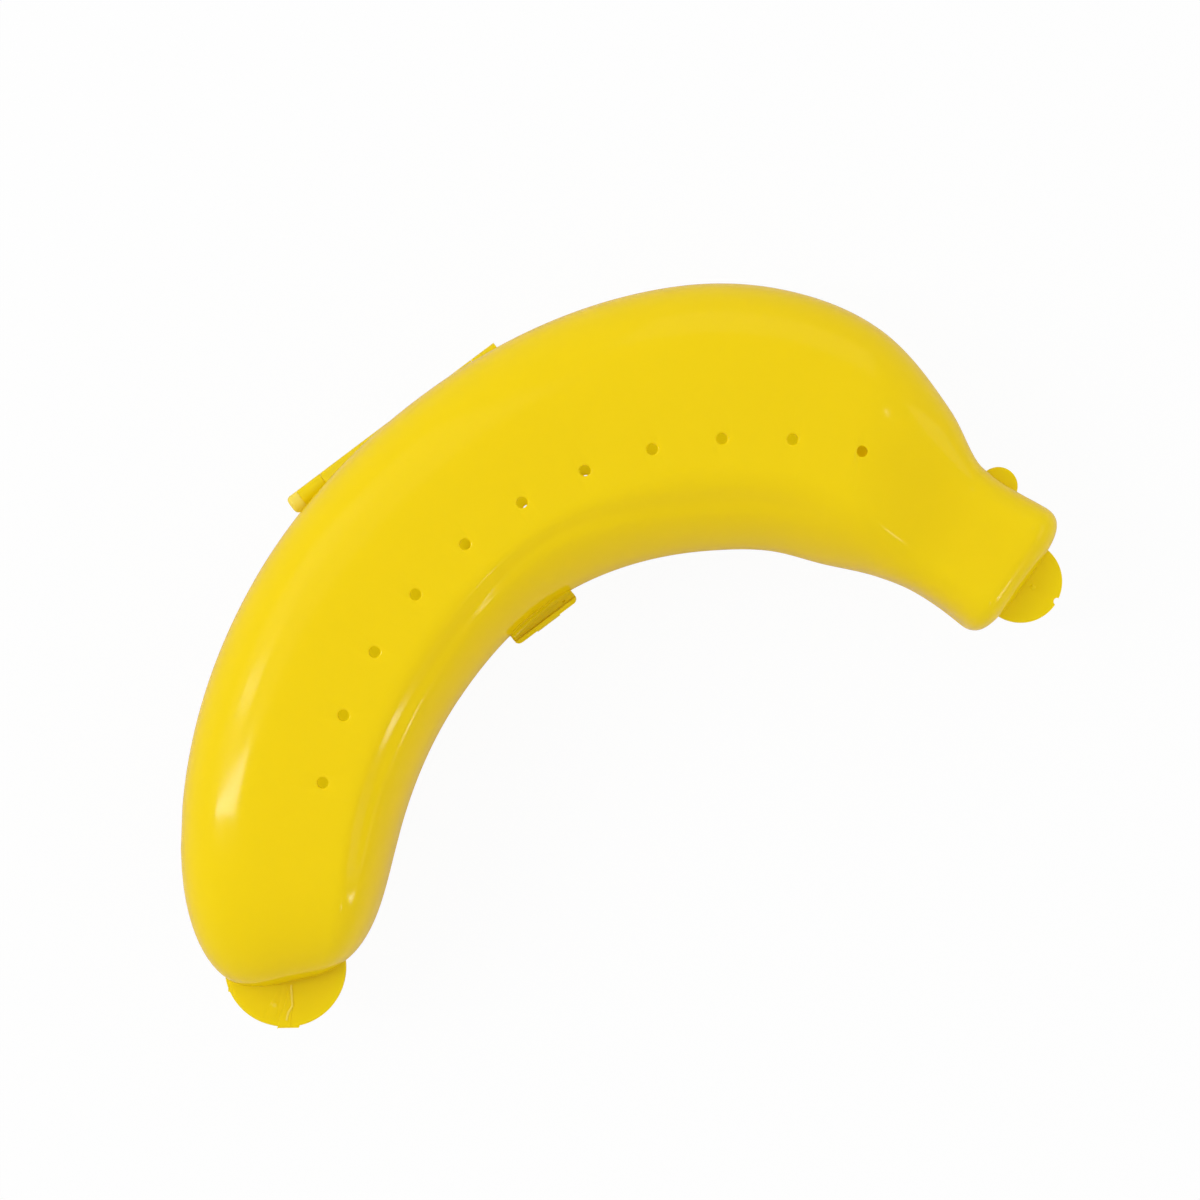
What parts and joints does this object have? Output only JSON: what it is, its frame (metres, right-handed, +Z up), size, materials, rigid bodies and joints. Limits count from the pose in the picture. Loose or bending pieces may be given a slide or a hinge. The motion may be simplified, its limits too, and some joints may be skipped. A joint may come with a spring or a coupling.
{
  "type": "banana carrying case",
  "caption": "Hinged hard case of yellow plastic for carrying a banana: curved half shells with a row of air holes, a pinned hinge outside the bend and a swing latch inside it",
  "frame": {"origin": "middle of the closed case in plan, on the surface that it rests on", "axes": "+X along the hinge axis towards the stem, +Y from the latch to the hinge, +Z up from the base to the lid"},
  "size_m": [0.2004, 0.1164, 0.0462],
  "materials": {
    "shell_plastic": "glossy moulded polypropylene, yellow through and through",
    "pin_plastic": "smooth drawn plastic rod, a little paler than the shells"
  },
  "bodies": {
    "base": {"base_shell": "shell_plastic", "hinge_pin": "pin_plastic", "latch_pin": "pin_plastic"},
    "lid": {"lid_shell": "shell_plastic"},
    "latch": {"latch_clip": "shell_plastic"}
  },
  "joints": [
    {"name": "lid_hinge", "type": "hinge", "parent": "base", "child": "lid", "pos_m": [0.00143, 0.05615, 0.0231], "axis": [-1, 0, 0], "range_deg": [0, 140]},
    {"name": "latch_pivot", "type": "hinge", "parent": "base", "child": "latch", "pos_m": [0.00108, 0.00482, 0.017], "axis": [1, 0, 0], "range_deg": [0, 95]}
  ]
}
